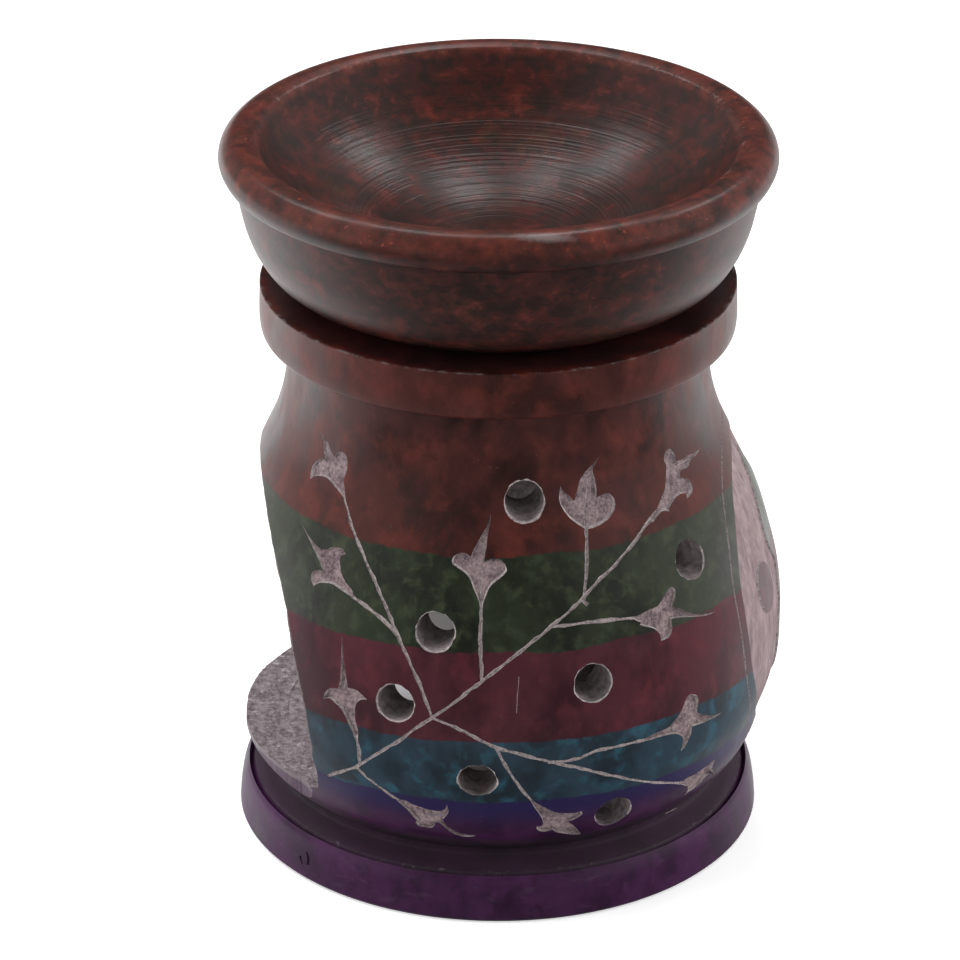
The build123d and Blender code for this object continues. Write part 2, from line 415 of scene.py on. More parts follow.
# The dye is worn through on the rims of the doorway, the sill and the collar and in the foot's groove.
left_of_axis = 1 - across.smooth(-2.0, -1.0)
rim_start = doorway_radius + 0.2
from_doorway = place.from_point(0, 0, doorway_centre_height).stretched(0, 1, 1).length() + 0.4 * fleck
door_worn = left_of_axis * (1 - from_doorway.smooth(rim_start, rim_start + 0.22)) * height.smooth(21, 24)
sill_worn = left_of_axis * (height + 0.3 * fleck).close_to(sill_height, 0.15, 0.45)
sill_worn = sill_worn * (1 - radius.smooth(34.15, 34.35))
rim_worn = (height + 0.30 * fleck).smooth(body_height - 0.02, body_height + 0.03) * radius.smooth(30.6, 30.9)
rim_worn = rim_worn * place.noise(1.6, 4, 0.7).smooth(0.48, 0.64)
groove_worn = radius.close_to(33.1, 0.12, 0.30) * height.close_to(6.4, 0.25, 0.5)
groove_worn = groove_worn * place.noise(1.2, 4, 0.7).smooth(0.56, 0.70)
speck = place.noise(0.35, 1, 0.4).smooth(0.75, 0.82)
pale_marks = door_worn + 0.8 * sill_worn + 0.5 * rim_worn + 0.4 * groove_worn + 0.2 * speck
feed(shader, "Base Color", pale_marks.at_most(1.0).tinted(colour, wax_haze_and_sheen))
feed(shader, "Roughness", 0.30 + 0.10 * cloud + 0.08 * fleck + 0.22 * ledge_shade_and_dull_wax)
feed(shader, "Coat Weight", 0.4 * ledge_shade_and_dull_wax)
carved_relief(shader, 0.02 * place.noise(1.8, 4, 0.55) + 0.010 * fleck)
burner.data.materials.append(dyed_finish)


def combined(piece, other, operation):
    """Fuses the other shape with a piece, or cuts it away, and keeps the finish of each."""
    deselect()
    bpy.context.view_layer.objects.active = piece
    join = piece.modifiers.new("join", "BOOLEAN")
    join.operation = operation
    join.solver = "MANIFOLD"
    join.material_mode = "TRANSFER"
    join.object = other
    bpy.ops.object.modifier_apply(modifier=join.name)
    bpy.data.objects.remove(other)


def cut_away(stone, cutters):
    """Fuses the cutters and takes them out of the stone, which keeps their finishes on what they bare."""
    whole = cutters[0]
    for cutter in cutters[1:]:
        combined(whole, cutter, "UNION")
    combined(stone, whole, "DIFFERENCE")


def rod(finish, radius, end_radius, corners, start, end):
    """A straight round bar of one finish from point to point, in mm, straight or tapered."""
    start = Vector(start) * mm
    end = Vector(end) * mm
    deselect()
    bpy.ops.mesh.primitive_cone_add(
        vertices=corners, radius1=radius * mm, radius2=end_radius * mm, depth=(end - start).length,
        location=(start + end) / 2, rotation=(end - start).to_track_quat("Z", "Y").to_euler(),
    )
    bpy.ops.object.transform_apply(location=True, rotation=True, scale=True)
    bpy.context.object.data.materials.append(finish)
    return bpy.context.object


# The vine, by pixel of the photograph. Stems run from joint to joint, a leaf's outline goes round from
# its base, and where an outline turns sharply it has a point. Two scratches and two nicks are wear.
vine_stems = [
    [
        (432, 718), (420, 684), (411, 666), (402, 645), (396, 631), (386, 607), (376, 584), (366, 561),
        (358, 543), (352, 527), (349, 516), (344, 497),
    ],
    [(398, 635), (389, 625), (380, 617), (366, 606), (352, 596)],
    [
        (432, 718), (450, 706), (470, 690), (482, 681), (500, 668), (520, 652), (536, 639), (552, 626),
        (570, 611), (582, 599), (600, 579), (615, 565), (629, 549), (640, 534),
    ],
    [(639, 535), (644, 528), (650, 520), (657, 511)],
    [(482, 682), (481, 660), (480, 640), (481, 620), (481, 601)],
    [(552, 627), (575, 624), (600, 621), (617, 619), (634, 618)],
    [(584, 600), (586, 580), (587, 560), (587, 545), (586, 527)],
    [(583, 597), (584, 602), (588, 605)],
    [
        (432, 718), (450, 725), (465, 732), (480, 740), (497, 748), (520, 754), (537, 759), (555, 763),
        (576, 767), (600, 773), (629, 779), (650, 782), (665, 783), (681, 783),
    ],
    [(496, 748), (502, 760), (510, 773), (520, 788), (534, 803)],
    [(548, 762), (568, 761), (581, 758), (595, 751), (610, 748), (627, 744), (645, 740)],
    [(432, 718), (418, 727), (400, 740), (385, 749), (370, 758), (356, 767), (345, 770), (328, 776)],
    [(360, 764), (359, 750), (357, 741), (354, 731)],
    [(356, 767), (367, 778), (381, 788), (393, 797), (402, 802)],
]
vine_leaves = [
    [
        (346, 501), (341, 494), (336, 488), (331, 482), (327, 478), (321, 476), (316, 476), (310, 479),
        (311, 471), (313, 465), (318, 460), (323, 457.5), (326, 461), (324, 453), (323.5, 446),
        (323.5, 440), (320.5, 432), (327, 441), (331, 450), (334, 457), (338, 452), (342, 451.5),
        (346, 455), (347.5, 462), (347, 470), (344, 480), (344.5, 488),
    ],
    [
        (353, 598), (344, 592), (338, 588), (332, 584), (325, 583), (319, 583), (313.5, 586), (311, 580),
        (311.5, 574), (314, 571), (319, 570), (323, 571.5), (320.5, 564), (317, 556), (313, 548),
        (309.5, 540), (302, 524.5), (312, 540), (317, 546), (322, 549), (328, 549), (332, 547),
        (338, 547.5), (343, 549), (346, 554), (341, 556), (340, 560), (340.5, 567), (342.5, 576),
        (347, 584), (353, 592),
    ],
    [
        (479.5, 604), (477, 597), (474, 590), (471, 582), (467, 575), (461, 570), (455, 566), (452, 563),
        (452.5, 558), (457, 554), (462, 552.5), (467, 554), (471, 557), (473, 551), (477, 544),
        (480, 538), (484, 531), (487, 526), (490, 513.5), (490.5, 521), (489, 528), (487.5, 537),
        (486.5, 546), (485, 554), (484.5, 562), (488, 560), (494, 558.5), (499, 559), (503, 562),
        (506, 566), (507, 570.5), (504, 575), (499, 579), (494, 583), (490, 587), (487, 593), (483, 604),
    ],
    [
        (355, 738), (352, 731), (348.5, 724), (345, 716), (341, 709), (335, 703), (330, 698.5),
        (323, 698.5), (326, 691), (331, 688), (337.5, 688.5), (339.5, 683), (340.5, 674), (341, 664),
        (341.5, 650), (342, 635.5), (343.5, 650), (344.5, 664), (346, 676), (348, 688), (352.5, 688.5),
        (358, 691), (362.5, 695), (367.5, 700), (362, 699.5), (358, 701.5), (355.5, 706), (355, 713),
        (355.5, 721), (358, 730), (358, 738),
    ],
    [
        (396, 800), (404, 800), (412, 804), (422, 807.5), (431, 810), (439, 811), (444, 809.5),
        (447, 804.5), (448.5, 811), (446, 816), (442.5, 819.5), (446, 825), (452.5, 829.5), (460, 833),
        (468, 835), (477, 835.5), (468, 837), (458.5, 835.5), (450, 831.5), (443.5, 826), (438.5, 822.5),
        (435.5, 822), (434, 826), (430, 828), (425, 827), (419, 826), (415.5, 823), (417, 820),
        (412.5, 816), (408.5, 811), (402.5, 805.5),
    ],
    [
        (530, 799), (540, 805), (548.5, 809), (555, 812), (563, 813), (571, 813), (577, 812.5),
        (582, 811), (582.5, 814.5), (578.5, 817), (573, 820), (567.5, 821.5), (573, 825), (577, 829),
        (581, 834), (573, 834.5), (564, 833.5), (556, 832), (552.5, 830), (548.5, 831), (541.5, 831.5),
        (537, 829.5), (536.5, 826.5), (541.5, 826), (543, 822.5), (541, 817), (537, 811), (533, 805.5),
    ],
    [
        (643, 739.5), (650, 736), (657, 732.5), (664, 729.5), (670, 726), (675, 720), (680, 713.5),
        (683.5, 706), (686, 699), (689, 695), (693, 694), (697.5, 696), (698.5, 701), (697.5, 707.5),
        (697, 712.5), (704, 714.5), (711, 715.5), (722, 712.5), (715, 717.5), (709, 720), (704, 722.5),
        (697.5, 725), (692.5, 727.5), (691.5, 733), (689, 739), (686, 745), (680.5, 752), (682, 745),
        (683, 739.5), (680, 735), (675, 734), (667.5, 735), (660, 737), (652, 739.5), (644, 741.5),
    ],
    [
        (677, 782), (682.5, 781), (687.5, 777.5), (695, 774.5), (701, 770), (706, 766.5), (711, 762),
        (716, 759), (712.5, 766), (712.5, 770), (715.5, 775.5), (709, 773), (705, 777.5), (700, 783.5),
        (694, 788.5), (690, 791), (684, 796), (687.5, 790), (687.5, 786), (681, 784.5),
    ],
    [
        (631, 617), (636, 616), (642, 613.5), (650, 609), (657.5, 606), (661, 601), (665, 595),
        (668, 589.5), (671, 586.5), (675, 589), (675.5, 594), (674.5, 600), (672, 606.5), (680, 608.5),
        (687.5, 612), (695, 613.5), (704, 613.5), (716, 611.5), (706, 615.5), (697.5, 616.5),
        (687.5, 617), (679, 617.5), (671, 619), (672, 624), (672, 630), (670, 636), (665, 639.5),
        (661, 641), (660, 635), (656, 630), (650, 627.5), (643, 626), (639.5, 625), (641, 622.5),
        (635, 620),
    ],
    [
        (585.5, 529), (581, 526.5), (575, 522.5), (569, 517.5), (564, 511), (560.5, 505), (559, 498),
        (559.5, 492), (560.5, 486), (564, 492), (569, 495.5), (572.5, 499), (575, 501), (575.5, 495),
        (577.5, 489), (579.5, 481), (583.5, 474), (589, 468), (593.5, 463), (599.5, 456), (595, 464),
        (592.5, 469.5), (594, 475), (595.5, 482.5), (596.5, 490), (596.5, 497.5), (602.5, 494.5),
        (607.5, 493), (612.5, 496), (615, 501), (615, 507.5), (613, 512.5), (609, 518.5), (602.5, 523.5),
        (595, 527.5), (589, 529),
    ],
    [
        (651, 520), (656, 510.5), (659.5, 502.5), (662, 496), (664.5, 490), (665.5, 481), (666, 472.5),
        (666, 465), (664, 460), (664.5, 455), (666.5, 450.5), (669.5, 448.5), (673, 451.5), (675, 456),
        (675.5, 461), (680, 460), (684, 458.5), (688, 455), (694, 453), (700, 447.5), (697.5, 453.5),
        (693, 457.5), (690.5, 460.5), (689, 465.5), (685, 468.5), (680.5, 471), (680, 477.5), (685, 478),
        (689.5, 480), (692, 485), (692.5, 490), (691, 494.5), (687, 499), (686.5, 493.5), (682.5, 493.5),
        (677.5, 496), (672.5, 502.5), (669.5, 507.5), (669, 511.5), (663, 511), (657.5, 516), (653, 523),
    ],
]
vine_veins = [
    [(586, 527), (586, 512), (587, 497), (589, 482), (591, 472)],
    [(480.5, 602), (480.5, 592), (481, 582), (482, 572)],
]
scratches = [[(519, 677), (518, 690), (517, 702), (516.5, 713)], [(665, 814), (671, 811), (677, 808)]]
nicks = [[(300, 856), (301, 860), (302.5, 864)], [(307, 852), (308.5, 858), (308, 865)]]
stem_radius = 0.25
vein_radius = 0.10
scratch_radius = 0.045
nick_radius = 0.20
stem_step = 6
leaf_depth_share = 0.011
leaf_rise_share = 0.02
leaf_floor_share = 0.94
leaf_detail = 3
sharp_turn = math.radians(62)
hand_shake = 0.35
hand = random.Random(7)


def on_stone(pixel):
    """Point of the turned surface that the camera sees at a pixel."""
    found, point, normal, face = burner.ray_cast(camera_place, sight_line(pixel))
    return point


def stem_points(pixels):
    """Points on the stone along a stem, close together and not quite straight, as a hand cuts it."""
    points = []
    for start, end in zip(pixels, pixels[1:]):
        count = max(1, round(math.dist(start, end) / stem_step))
        for step in range(count):
            share = step / count
            across = start[0] + share * (end[0] - start[0]) + hand.uniform(-hand_shake, hand_shake)
            down = start[1] + share * (end[1] - start[1]) + hand.uniform(-hand_shake, hand_shake)
            points.append(on_stone((across, down)))
    return points + [on_stone(pixels[-1])]


def leaf_points(pixels):
    """Points on the stone round a leaf, each marked as a sharp point or a smooth one."""
    points = []
    for before, here, after in zip(pixels[-1:] + pixels, pixels, pixels[1:] + pixels[:1]):
        come = Vector((here[0] - before[0], here[1] - before[1]))
        go = Vector((after[0] - here[0], after[1] - here[1]))
        kind = "VECTOR" if come.angle(go) > sharp_turn else "AUTO"
        points.append((on_stone(here), kind))
    return points


def mirrored(point, side):
    """The point itself on the front, or the same point on the back."""
    return Vector((point.x, side * point.y, point.z))


def even_tube(finish, points, radius, closed=False, uneven=0.0):
    """A closed round tube along points, a little thinner and thicker as it goes where it is uneven."""
    deselect()
    bpy.ops.curve.primitive_nurbs_path_add()
    tube = bpy.context.object
    tube.data.splines.clear()
    spline = tube.data.splines.new("POLY")
    spline.points.add(len(points) - 1)
    spline.use_cyclic_u = closed
    for knot, point in zip(spline.points, points):
        knot.co = (*point, 1)
        knot.radius = 1 + hand.uniform(-uneven, uneven)
    tube.data.bevel_depth = radius * mm
    tube.data.bevel_resolution = 1
    tube.data.use_fill_caps = True
    bpy.ops.object.convert(target="MESH")
    tube = bpy.context.object
    tube.data.materials.append(finish)
    closed_faces(tube)
    return tube


def edit_filled():
    """Opens the active outline for editing, closed with a flat of faces."""
    edit_all()
    bpy.ops.mesh.remove_doubles(threshold=knot_gap)
    bpy.ops.mesh.fill(use_beauty=True)


def sunk_leaf(points):
    """A cut in the shape of a leaf, with a flat raw bottom and bruised sides that slope in."""
    cutter = drawn_curve("leaf", points, leaf_detail, closed=True)
    middle = sum((corner.co for corner in cutter.data.vertices), Vector()) / len(cutter.data.vertices)
    edit_filled()
    bpy.ops.transform.resize(value=[leaf_floor_share] * 3, center_override=middle)
    inward = 1 - leaf_depth_share
    bpy.ops.transform.resize(value=(inward, inward, 1), center_override=(0, 0, 0))
    bpy.ops.mesh.extrude_region_move()
    outward = (1 + leaf_rise_share) / inward
    bpy.ops.transform.resize(value=(outward, outward, 1), center_override=(0, 0, 0))
    spread = 1 + (1 - leaf_floor_share) * leaf_rise_share / leaf_depth_share
    bpy.ops.transform.resize(value=[spread / leaf_floor_share] * 3, center_override=middle)
    bpy.ops.object.mode_set(mode="OBJECT")
    closed_faces(cutter)
    cutter.data.materials.append(raw_finish)
    cutter.data.materials.append(edge_finish)
    away = Vector((middle.x, middle.y, 0)).normalized()
    for face in cutter.data.polygons:
        face.material_index = 1 if abs(face.normal.dot(away)) < 0.75 else 0
    return cutter


stems = [stem_points(pixels) for pixels in vine_stems]
leaves = [leaf_points(pixels) for pixels in vine_leaves]
scratch_points = [stem_points(pixels) for pixels in scratches]
nick_points = [stem_points(pixels) for pixels in nicks]
veins = []
for pixels in vine_veins:
    floor_share = 1 - leaf_depth_share
    veins.append([Vector((p.x * floor_share, p.y * floor_share, p.z)) for p in stem_points(pixels)])

# The medallion opposite the doorway: a shallow round sinking with raised shapes that keep their dye,
# and one engraved ring round it.
medallion_half_width = 18.8
medallion_half_height = 20.3
medallion_centre_height = 34.5
medallion_depth = 0.3
ring_half_width = 20.2
ring_half_height = 23.1
ring_groove_radius = 0.15
heart_radius = 4.6
petal_outline = [
    (0, 1.6, "VECTOR"),
    (3.6, 3.4, "AUTO"),
    (5.7, 7.0, "AUTO"),
    (4.9, 11.0, "AUTO"),
    (2.3, 14.6, "AUTO"),
    (0, 18.2, "VECTOR"),
    (-2.3, 14.6, "AUTO"),
    (-4.9, 11.0, "AUTO"),
    (-5.7, 7.0, "AUTO"),
    (-3.6, 3.4, "AUTO"),
]
bud_middle = (11.2, 2.7)
bud_half_width = 2.7
bud_half_height = 3.5
shape_detail = 24
ring_steps = 120
cutter_reach = 45.0
scraped_pale = (0.37, 0.280, 0.290)
scraped_deep = (0.18, 0.132, 0.138)


def oval(middle, half_width, half_height):
    """Outline of an upright oval on the medallion."""
    turns = ((1, 0), (0, 1), (-1, 0), (0, -1))
    return [(middle[0] + half_width * x, middle[1] + half_height * y, "AUTO") for x, y in turns]


def boss(finish, outline, across=1, up=1):
    """A bar along X in the shape of an outline on the medallion, as drawn or turned over either way."""
    points = []
    for point_across, point_up, kind in outline:
        point = Vector((0, across * point_across, medallion_centre_height + up * point_up))
        points.append((point * mm, kind))
    bar = drawn_curve("boss", points, shape_detail, closed=True)
    edit_filled()
    bpy.ops.mesh.extrude_region_move(TRANSFORM_OT_translate={"value": (cutter_reach * mm, 0, 0)})
    bpy.ops.object.mode_set(mode="OBJECT")
    closed_faces(bar)
    bar.data.materials.append(finish)
    return bar


def on_belly(across, up):
    """Point of the turned surface straight behind a point of the medallion, in mm from its centre."""
    origin = Vector((cutter_reach * mm, across * mm, (medallion_centre_height + up) * mm))
    found, point, normal, face = burner.ray_cast(origin, Vector((-1, 0, 0)))
    return point


ring_points = []
for step in range(ring_steps):
    turn = math.tau * step / ring_steps
    ring_points.append(on_belly(ring_half_width * math.cos(turn), ring_half_height * math.sin(turn)))

core_outline = [(0, cove_height, "VECTOR"), *belly_outline(medallion_depth), (0, neck_height, "VECTOR")]
sinking = boss(edge_finish, oval((0, 0), medallion_half_width, medallion_half_height))
scraped_finish, shader, place, height, radius = new_finish("scraped_soapstone", 0.9, Specular_IOR_Level=0.25)
scrape = place.stretched(1, 1, 0.3).noise(0.9, 5, 0.65, 0.4)
cloud = place.noise(4, 3, 0.6)
pale = (0.7 * scrape + 0.5 * cloud - 0.1).smooth(0.25, 0.75)
feed(shader, "Base Color", pale.tinted(scraped_deep, scraped_pale))
carved_relief(shader, 0.12 * scrape)
core = turned("medallion_core", core_outline, 8, 240)
core.data.materials.append(scraped_finish)
petals = [boss(edge_finish, petal_outline, 1, up) for up in (1, -1)]
petals += [boss(edge_finish, oval(bud_middle, bud_half_width, bud_half_height), across) for across in (1, -1)]
petals.append(boss(edge_finish, oval((0, 0), heart_radius, heart_radius)))
cut_away(sinking, [core, *petals])

# The hollow: the chamber and its mouth, the doorway over the flat sill, and the drilled air holes.
mouth_cutter_rise = 5
chamber_outline = [
    (0, sill_height, "VECTOR"),
    (chamber_floor_radius, sill_height, "VECTOR"),
    (belly_radius - chamber_wall, belly_height, "AUTO"),
    *between((belly_radius - chamber_wall, belly_height), (mouth_radius, throat_height), shoulder_shares),
    (mouth_radius, throat_height, "VECTOR"),
    (mouth_radius, body_height + mouth_cutter_rise, "VECTOR"),
    (0, body_height + mouth_cutter_rise, "VECTOR"),
]
chamber = turned("chamber", chamber_outline, 6, 160)
chamber.data.materials.append(hollow_finish)
hollow = [chamber]

doorway_middle = (0, 0, doorway_centre_height)
doorway_front = (-cutter_reach, 0, doorway_centre_height)
doorway_unevenness = 0.16
doorway = rod(hewn_finish, doorway_radius, doorway_radius, 150, doorway_middle, doorway_front)
edit_all()
bpy.ops.transform.vertex_random(offset=doorway_unevenness * mm, uniform=0, normal=0, seed=3)

# It is cut off flat at the sill, and on slopes that round its two lower corners.
doorway_cuts = [(0, 0), (21.5, 0.4), (-21.5, -0.4), (25.6, 3.0), (-25.6, -3.0)]
for across, slope in doorway_cuts:
    bpy.ops.mesh.select_all(action="SELECT")
    corner = Vector((0, across, sill_height)) * mm
    upward = Vector((0, -slope, 1)).normalized()
    bpy.ops.mesh.bisect(plane_co=corner, plane_no=upward, use_fill=True, clear_inner=True)
closed_faces(doorway)

# The outer edge of the sill is rubbed back, most of all near its corners.
sill_edge = [(0, 34.15), (15, 34.15), (25, 33.65), (34, 33.3), (39, 33.1), (42, 33.5), (44.5, 34.4), (47, 35.8)]
sill_edge_bottom = 11.0
sill_edge_unevenness = 0.10
rubbed_points = []
other_half = [(-azimuth, reach) for azimuth, reach in reversed(sill_edge[1:])]
for azimuth, reach in other_half + sill_edge:
    turn = math.radians(azimuth)
    rubbed_points.append((-reach * math.cos(turn), -reach * math.sin(turn), "AUTO"))
rubbed_points += [(-cutter_reach, -cutter_reach, "VECTOR"), (-cutter_reach, cutter_reach, "VECTOR")]
rubbed_points = [(Vector((x, y, sill_edge_bottom)) * mm, kind) for x, y, kind in rubbed_points]
rubbed_edge = drawn_curve("rubbed_edge", rubbed_points, 10, closed=True)
edit_filled()
for rise, spread in ((3.0, 1.0), (4.0, 1.09)):
    bpy.ops.mesh.extrude_region_move(TRANSFORM_OT_translate={"value": (0, 0, rise * mm)})
    bpy.ops.transform.resize(value=(spread, spread, 1), center_override=(0, 0, 0))
bpy.ops.mesh.select_all(action="SELECT")
bpy.ops.transform.vertex_random(offset=sill_edge_unevenness * mm, uniform=0, normal=0, seed=5)
closed_faces(rubbed_edge)
rubbed_edge.data.materials.append(dyed_finish)

# Each air hole is drilled level, straight at the axis, and its rim is chipped where the drill went in.
# A place is its turn from the middle of the front in degrees, and its height. The back has the same.
air_hole_radius = 2.5
drill_end_share = 0.74
chip_depth = 0.27
chip_width = 0.27
chip_unevenness = 0.15
air_hole_places = [
    (6.4, 58.5),
    (46.3, 47.5),
    (-13.1, 42.8),
    (18.8, 35.7),
    (-20.5, 32.8),
    (-4.2, 22.5),
    (25.3, 14.7),
]
chips = []
for number, (azimuth, hole_height) in enumerate(air_hole_places):
    for turn in (math.radians(azimuth), math.pi - math.radians(azimuth)):
        outward = Vector((math.sin(turn), -math.cos(turn), 0))
        rise = Vector((0, 0, hole_height))
        found, point, normal, face = burner.ray_cast((outward * cutter_reach + rise) * mm, -outward)
        point = point / mm
        start = outward * point.dot(outward) * drill_end_share + rise
        end = outward * cutter_reach + rise
        hollow.append(rod(hollow_finish, air_hole_radius, air_hole_radius, 48, start, end))
        radii = (air_hole_radius + chip_width * share for share in (0, 3))
        chip = rod(edge_finish, *radii, 26, point - normal * chip_depth, point + normal * 2 * chip_depth)
        edit_all()
        bpy.ops.transform.vertex_random(offset=chip_unevenness * mm, uniform=0, normal=0, seed=number)
        bpy.ops.object.mode_set(mode="OBJECT")
        chips.append(chip)

# All the carving comes last. The vine is cut on the front and mirrored on the back.
ring_unevenness = 0.2
nick_unevenness = 0.5
stem_unevenness = 0.35
vein_unevenness = 0.3
carving = [even_tube(edge_finish, ring_points, ring_groove_radius, True, ring_unevenness)]
carving += [even_tube(edge_finish, points, scratch_radius) for points in scratch_points]
carving += [even_tube(dyed_finish, points, nick_radius, False, nick_unevenness) for points in nick_points]
for side in (1, -1):
    for points in leaves:
        carving.append(sunk_leaf([(mirrored(point, side), kind) for point, kind in points]))
    for points in stems:
        points = [mirrored(point, side) for point in points]
        carving.append(even_tube(edge_finish, points, stem_radius, False, stem_unevenness))
    for points in veins:
        points = [mirrored(point, side) for point in points]
        carving.append(even_tube(edge_finish, points, vein_radius, False, vein_unevenness))
cut_away(burner, chips)
cut_away(burner, hollow)
cut_away(burner, [doorway])
cut_away(burner, [rubbed_edge])
cut_away(burner, [sinking])
cut_away(burner, carving)


def smooth_shaded(piece):
    """Shades a piece smooth, except over its real edges."""
    deselect()
    piece.select_set(True)
    bpy.context.view_layer.objects.active = piece
    bpy.ops.object.shade_smooth_by_angle(angle=math.radians(30))


smooth_shaded(burner)
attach(burner, "burner")
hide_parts("burner_body")


# Oil bowl
# A thick dish of the same stone, turned with a rolled lip, dyed red-brown and waxed all over.
# It stands loose on the collar, and a short spigot under it keeps it centred in the mouth.

bowl_seat_radius = 24.8
bowl_crest_height = 97.3
bowl_wall_radius = 34.3
bowl_rim_radius = 36.2
bowl_wall_top = 92.4
lip_inner_radius = 31.4
lip_inner_height = 96.8
dish_floor_radius = 8.0
dish_floor_height = 82.8
spigot_radius = 20.7
spigot_bottom = 73.55

bowl_shares = [(0.274, 0.089), (0.516, 0.187), (0.684, 0.318), (0.832, 0.515), (0.926, 0.744)]
dish_shares = [(0.3, 0.13), (0.6, 0.37), (0.85, 0.68)]

bowl_seat = (bowl_seat_radius, body_height)
bowl_wall = (bowl_wall_radius, bowl_wall_top)
dish_floor = (dish_floor_radius, dish_floor_height)
lip_inner = (lip_inner_radius, lip_inner_height)
bowl_outline = [
    (0, spigot_bottom, "VECTOR"),
    (spigot_radius - 0.3, spigot_bottom, "VECTOR"),
    (spigot_radius, spigot_bottom + 0.3, "VECTOR"),
    (spigot_radius, body_height, "VECTOR"),
    (*bowl_seat, "VECTOR"),
    *between(bowl_seat, bowl_wall, bowl_shares),
    (*bowl_wall, "VECTOR"),
    (bowl_wall_radius + 0.9, bowl_wall_top + 0.25, "AUTO"),
    (bowl_rim_radius - 0.25, bowl_wall_top + 1.15, "AUTO"),
    (bowl_rim_radius, bowl_wall_top + 2.5, "AUTO"),
    (bowl_rim_radius - 1.0, bowl_crest_height - 0.7, "AUTO"),
    (bowl_rim_radius - 2.6, bowl_crest_height, "AUTO"),
    (lip_inner_radius + 0.35, lip_inner_height + 0.2, "AUTO"),
    (*lip_inner, "VECTOR"),
    *reversed(between(dish_floor, lip_inner, dish_shares)),
    (*dish_floor, "AUTO"),
    (0, dish_floor_height - 0.1, "VECTOR"),
]
bowl = turned("oil_dish", bowl_outline, body_detail, body_steps)

bowl_deep = (0.026, 0.0110, 0.0085)
bowl_plain = (0.053, 0.0105, 0.0080)
bowl_bright = (0.110, 0.0155, 0.0100)
bowl_olive = (0.048, 0.0210, 0.0095)
bowl_worn = (0.165, 0.0330, 0.0200)
bowl_black = (0.017, 0.0100, 0.0080)
bowl_red = (0.125, 0.0210, 0.0140)
bowl_orange = (0.30, 0.060, 0.030)
lip_highlight_pixel = (548, 237)
lathe_grain = 0.30
lathe_ridge = 0.75
bowl_finish, shader, place, height, radius = new_finish("dyed_dish", 0.34, Specular_IOR_Level=0.45)
cloud = place.noise(6, 4, 0.65).smooth(0.28, 0.68)
blotch = place.noise(3.2, 5, 0.62, 0.15).smooth(0.46, 0.80)
fleck = place.noise(0.9, 4, 0.65)
colour = (cloud * (0.55 + 0.9 * fleck)).tinted(bowl_deep, bowl_plain)
olive = place.stretched(0.7, 0.7, 1).noise(4.5, 4, 0.6, 0.4).smooth(0.50, 0.72)
colour = (0.7 * olive * (1 - height.smooth(88, 92))).tinted(colour, bowl_olive)
colour = (blotch * (0.30 + 0.80 * fleck)).tinted(colour, bowl_bright)
mottle = place.stretched(1, 1, 1.5).noise(2.6, 5, 0.62, 0.4)
colour = (0.75 - 0.75 * mottle.smooth(0.40, 0.54)).tinted(colour, bowl_black)
colour = (0.6 * mottle.smooth(0.58, 0.70)).tinted(colour, bowl_red)
lip = height.smooth(bowl_wall_top + 1.5, bowl_wall_top + 3.5) * radius.smooth(30.6, 31.2)
colour = (0.65 * lip * place.noise(2.6, 4, 0.65).smooth(0.30, 0.80)).tinted(colour, bowl_worn)
colour = (0.7 * lip * place.noise(0.8, 4, 0.7).smooth(0.62, 0.70)).tinted(colour, bowl_orange)

# The dye is worn off along the lip's inner edge, and one pale patch on the front of the lip is a painted
# highlight.
inner_edge = radius.close_to(31.6, 0.10, 0.45) * height.smooth(95.0, 96.0)
chipped = inner_edge * place.noise(1.3, 4, 0.7).smooth(0.58, 0.68)
found, point, normal, face = bowl.ray_cast(camera_place, sight_line(lip_highlight_pixel))
painted_lip_highlight = place.from_point(*(point / mm)).stretched(0.2, 1, 1.3).length()
painted_lip_highlight = 1 - (painted_lip_highlight + 0.9 * (fleck - 0.5)).smooth(0.3, 1.1)
pale_marks = (0.5 * chipped + 0.7 * painted_lip_highlight).at_most(1.0)
feed(shader, "Base Color", pale_marks.tinted(colour, wax_haze_and_sheen))

# The lathe left fine rings inside the dish, which waver a little.
waver = 0.25 * place.noise(7, 2, 0.5)
lathe = place.node("ShaderNodeCombineXYZ", {}, {"X": radius, "Y": 0.04 * height, "Z": waver})
lathe_mark = 0.055 * lathe.noise(lathe_grain, 2, 0.5) + 0.075 * lathe.noise(lathe_ridge, 2, 0.5)
inside = (1 - radius.smooth(lip_inner_radius - 2.4, lip_inner_radius - 0.9)) * height.smooth(80.0, 81.0)
feed(shader, "Roughness", 0.36 + 0.08 * fleck - 0.10 * inside - 0.06 * lip)
carved_relief(shader, inside * lathe_mark + 0.02 * place.noise(1.6, 4, 0.55) + 0.010 * fleck)
bowl.data.materials.append(bowl_finish)
smooth_shaded(bowl)
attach(bowl, "bowl")
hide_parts("oil_bowl")


# Tealight cup
# A cup drawn from thin aluminium sheet, with a fluted wall and a rolled rim. It stands loose on the
# chamber's floor and slides in and out through the doorway with all that it holds.

cup_radius = 18.6
cup_wall = 0.35
cup_top = 28.3
rim_width = 0.4
rim_height = 0.5
cup_flutes = 48
flute_depth = 0.22
flute_half_height = 6.0
cup_dull = (0.72, 0.72, 0.73)
cup_bright = (0.83, 0.83, 0.84)

